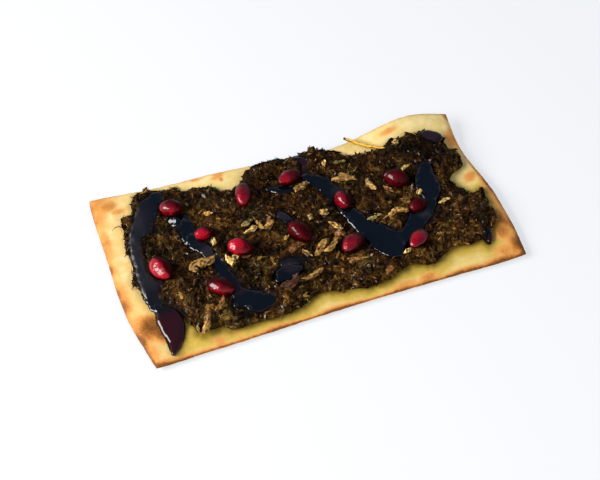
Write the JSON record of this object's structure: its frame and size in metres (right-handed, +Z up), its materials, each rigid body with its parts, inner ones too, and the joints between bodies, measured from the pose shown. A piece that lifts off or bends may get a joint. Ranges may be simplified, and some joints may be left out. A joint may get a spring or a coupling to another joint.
{
  "type": "spinach flatbread",
  "caption": "Thin crisp rectangular flatbread topped with rough chopped spinach, a dark syrup drizzle, chopped nuts, an onion strand and red fruit arils.",
  "frame": {"origin": "middle of the bread's plan, on the surface that it lies on", "axes": "+X along the bread, +Y towards its far long side, +Z up"},
  "size_m": [0.1539, 0.0851, 0.0118],
  "materials": {
    "crust": "baked matte",
    "spinach": "moist",
    "aril": "wet gloss",
    "syrup": "gloss",
    "nut": "toasted matte",
    "onion": "satin"
  },
  "bodies": {
    "root": {"bread": "crust", "spinach_topping": "spinach", "aril_01": "aril", "aril_02": "aril", "aril_03": "aril", "aril_04": "aril", "aril_05": "aril", "aril_06": "aril", "aril_07": "aril", "aril_08": "aril", "aril_09": "aril", "aril_10": "aril", "aril_11": "aril", "aril_12": "aril", "aril_13": "aril"}
  },
  "joints": []
}
